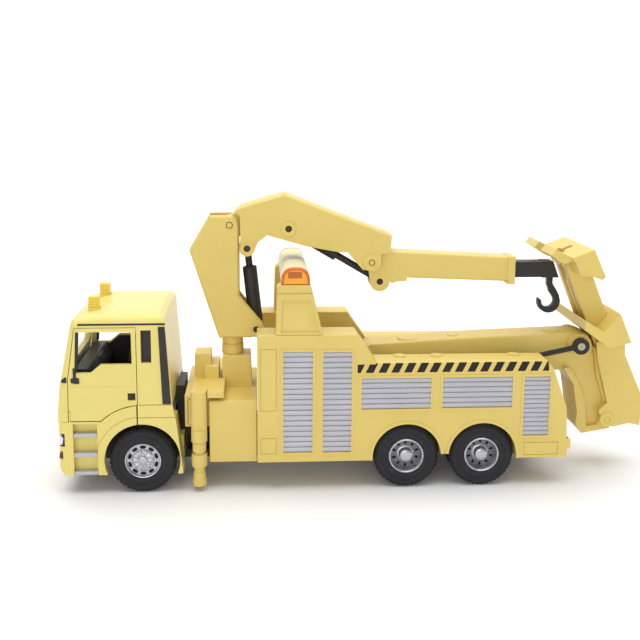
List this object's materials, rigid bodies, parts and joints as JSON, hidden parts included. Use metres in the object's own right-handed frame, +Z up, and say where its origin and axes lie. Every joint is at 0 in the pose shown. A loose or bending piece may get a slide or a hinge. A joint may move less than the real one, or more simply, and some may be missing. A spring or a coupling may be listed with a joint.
{
  "type": "toy tow truck",
  "caption": "Toy recovery truck with a cab, locker body, slewing folding crane with ram and hook, side outriggers, light bar and folding rear underlift.",
  "frame": {"origin": "on the floor below the middle of the bounding box", "axes": "+X to the truck's rear, +Y to the truck's right, +Z up"},
  "size_m": [0.2234, 0.0496, 0.109],
  "materials": {
    "yellow_body": "moulded warm yellow plastic, satin",
    "cab_enamel": "glossy lemon-yellow enamel on die-cast metal",
    "tyre": "matt black moulded rubber with fine tread grooves",
    "silver_rim": "vacuum-plated silver plastic",
    "steel_pin": "bare steel pin",
    "black_plastic": "matt warm-black plastic",
    "shutter_silver": "satin silver painted slats",
    "clear_glazing": "clear styrene glazing",
    "clear_lamp": "clear moulded lamp lens",
    "amber_lens": "clear amber moulded lens",
    "beacon_yellow": "translucent amber-yellow beacon plastic",
    "red_lens": "red moulded lamp lens"
  },
  "bodies": {
    "truck": {"chassis_frame": "black_plastic", "cab_shell": "cab_enamel", "cab_glazing": "clear_glazing", "cab_interior": "black_plastic", "front_bumper": "cab_enamel", "front_grille": "black_plastic", "front_lamp_lenses": "clear_lamp", "step_treads": "shutter_silver", "front_mudguards": "cab_enamel", "roof_beacon_lenses": "beacon_yellow", "air_intake_ducts": "black_plastic", "outrigger_housing": "yellow_body", "mid_deck_box": "yellow_body", "crane_pedestal": "yellow_body", "recovery_body": "yellow_body", "left_roller_shutters": "shutter_silver", "right_roller_shutters": "shutter_silver", "gantry_pylons": "yellow_body", "light_bar": "yellow_body", "light_bar_lenses": "amber_lens", "tail_lamps": "red_lens"},
    "front_axle": {"front_axle_pin": "steel_pin", "front_left_rim": "silver_rim", "front_left_tyre": "tyre", "front_right_rim": "silver_rim", "front_right_tyre": "tyre"},
    "rear_axle_1": {"rear_1_axle_pin": "steel_pin", "rear_1_left_rim": "silver_rim", "rear_1_left_tyre": "tyre", "rear_1_right_rim": "silver_rim", "rear_1_right_tyre": "tyre"},
    "rear_axle_2": {"rear_2_axle_pin": "steel_pin", "rear_2_left_rim": "silver_rim", "rear_2_left_tyre": "tyre", "rear_2_right_rim": "silver_rim", "rear_2_right_tyre": "tyre"},
    "left_door": {"left_cab_door": "cab_enamel"},
    "right_door": {"right_cab_door": "cab_enamel"},
    "slewing_mast": {"slew_turret": "yellow_body", "crane_mast": "yellow_body", "mast_pins": "steel_pin"},
    "knuckle": {"knuckle_boom": "yellow_body", "boom_pins": "steel_pin"},
    "lift_barrel": {"lift_ram_barrel": "black_plastic"},
    "lift_rod": {"lift_ram_rod": "black_plastic"},
    "fold_barrel": {"fold_ram_barrel": "black_plastic"},
    "fold_rod": {"fold_ram_rod": "black_plastic"},
    "arm": {"telescopic_arm": "yellow_body"},
    "extension": {"extension_section": "black_plastic"},
    "hook": {"crane_hook": "black_plastic"},
    "left_beam": {"left_outrigger_beam": "yellow_body"},
    "right_beam": {"right_outrigger_beam": "yellow_body"},
    "left_leg": {"left_outrigger_leg": "yellow_body"},
    "right_leg": {"right_outrigger_leg": "yellow_body"},
    "underlift": {"underlift_boom": "yellow_body", "underlift_pins": "steel_pin"},
    "underlift_barrels": {"underlift_ram_barrels": "black_plastic"},
    "underlift_rods": {"underlift_ram_rods": "black_plastic"},
    "stinger": {"stinger_arm": "yellow_body"},
    "stinger_slide": {"stinger_column": "yellow_body"}
  },
  "joints": [
    {"name": "front_axle_spin", "type": "hinge", "parent": "truck", "child": "front_axle", "pos_m": [-0.0814, 0, 0.0122], "axis": [0, 1, 0], "continuous": true},
    {"name": "rear_axle_1_spin", "type": "hinge", "parent": "truck", "child": "rear_axle_1", "pos_m": [0.0162, 0, 0.0122], "axis": [0, 1, 0], "continuous": true},
    {"name": "rear_axle_2_spin", "type": "hinge", "parent": "truck", "child": "rear_axle_2", "pos_m": [0.0448, 0, 0.0122], "axis": [0, 1, 0], "continuous": true},
    {"name": "left_door_hinge", "type": "hinge", "parent": "truck", "child": "left_door", "pos_m": [-0.1072, -0.0238, 0.045], "axis": [0, 0, -1], "range_deg": [0, 60]},
    {"name": "right_door_hinge", "type": "hinge", "parent": "truck", "child": "right_door", "pos_m": [-0.1072, 0.0238, 0.045], "axis": [0, 0, 1], "range_deg": [0, 60]},
    {"name": "crane_slew", "type": "hinge", "parent": "truck", "child": "slewing_mast", "pos_m": [-0.0488, 0, 0.047], "axis": [0, 0, 1], "continuous": true},
    {"name": "knuckle_lift", "type": "hinge", "parent": "slewing_mast", "child": "knuckle", "pos_m": [-0.0495, 0, 0.0973], "axis": [0, -1, 0], "range_deg": [0, 35]},
    {"name": "lift_barrel_tilt", "type": "hinge", "parent": "slewing_mast", "child": "lift_barrel", "pos_m": [-0.0396, 0, 0.0572], "axis": [0, -1, 0], "range_deg": [-8, 0]},
    {"name": "lift_rod_tilt", "type": "hinge", "parent": "knuckle", "child": "lift_rod", "pos_m": [-0.043, 0, 0.0884], "axis": [0, -1, 0], "range_deg": [-43, 0]},
    {"name": "arm_fold", "type": "hinge", "parent": "knuckle", "child": "arm", "pos_m": [0.0042, 0, 0.083], "axis": [0, -1, 0], "range_deg": [-5, 25]},
    {"name": "fold_barrel_tilt", "type": "hinge", "parent": "knuckle", "child": "fold_barrel", "pos_m": [-0.0274, 0, 0.0959], "axis": [0, -1, 0], "range_deg": [-2, 6]},
    {"name": "fold_rod_tilt", "type": "hinge", "parent": "arm", "child": "fold_rod", "pos_m": [0.0076, 0, 0.0752], "axis": [0, -1, 0], "range_deg": [-22, 6]},
    {"name": "arm_extend", "type": "slide", "parent": "arm", "child": "extension", "axis": [1, 0, 0], "range_m": [-0.0108, 0]},
    {"name": "hook_swing", "type": "hinge", "parent": "extension", "child": "hook", "pos_m": [0.0751, 0, 0.0786], "axis": [0, -1, 0], "range_deg": [-15, 20]},
    {"name": "left_outrigger_reach", "type": "slide", "parent": "truck", "child": "left_beam", "axis": [0, -1, 0], "range_m": [0, 0.012]},
    {"name": "left_leg_drop", "type": "slide", "parent": "left_beam", "child": "left_leg", "axis": [0, 0, -1], "range_m": [0, 0.002]},
    {"name": "right_outrigger_reach", "type": "slide", "parent": "truck", "child": "right_beam", "axis": [0, 1, 0], "range_m": [0, 0.012]},
    {"name": "right_leg_drop", "type": "slide", "parent": "right_beam", "child": "right_leg", "axis": [0, 0, -1], "range_m": [0, 0.002]},
    {"name": "underlift_lift", "type": "hinge", "parent": "truck", "child": "underlift", "pos_m": [0.0055, 0, 0.045], "axis": [0, -1, 0], "range_deg": [-6, 0]},
    {"name": "underlift_barrel_tilt", "type": "hinge", "parent": "truck", "child": "underlift_barrels", "pos_m": [0.04, 0, 0.0406], "axis": [0, -1, 0], "range_deg": [-11, 0]},
    {"name": "underlift_rod_tilt", "type": "hinge", "parent": "underlift", "child": "underlift_rods", "pos_m": [0.0859, 0, 0.0501], "axis": [0, -1, 0], "range_deg": [-5, 0]},
    {"name": "stinger_fold", "type": "hinge", "parent": "underlift", "child": "stinger", "pos_m": [0.0975, 0, 0.0205], "axis": [0, 1, 0], "range_deg": [0, 100]},
    {"name": "stinger_extend", "type": "slide", "parent": "stinger", "child": "stinger_slide", "axis": [-0.3795, 0, 0.9252], "range_m": [0, 0.015]}
  ],
  "couplings": [
    {"joint": "lift_barrel_tilt", "follows": "knuckle_lift", "ratio": -0.2185},
    {"joint": "lift_rod_tilt", "follows": "knuckle_lift", "ratio": -1.2185},
    {"joint": "fold_barrel_tilt", "follows": "arm_fold", "ratio": 0.181},
    {"joint": "fold_rod_tilt", "follows": "arm_fold", "ratio": -0.819},
    {"joint": "underlift_barrel_tilt", "follows": "underlift_lift", "ratio": 1.7235},
    {"joint": "underlift_rod_tilt", "follows": "underlift_lift", "ratio": 0.7235}
  ]
}
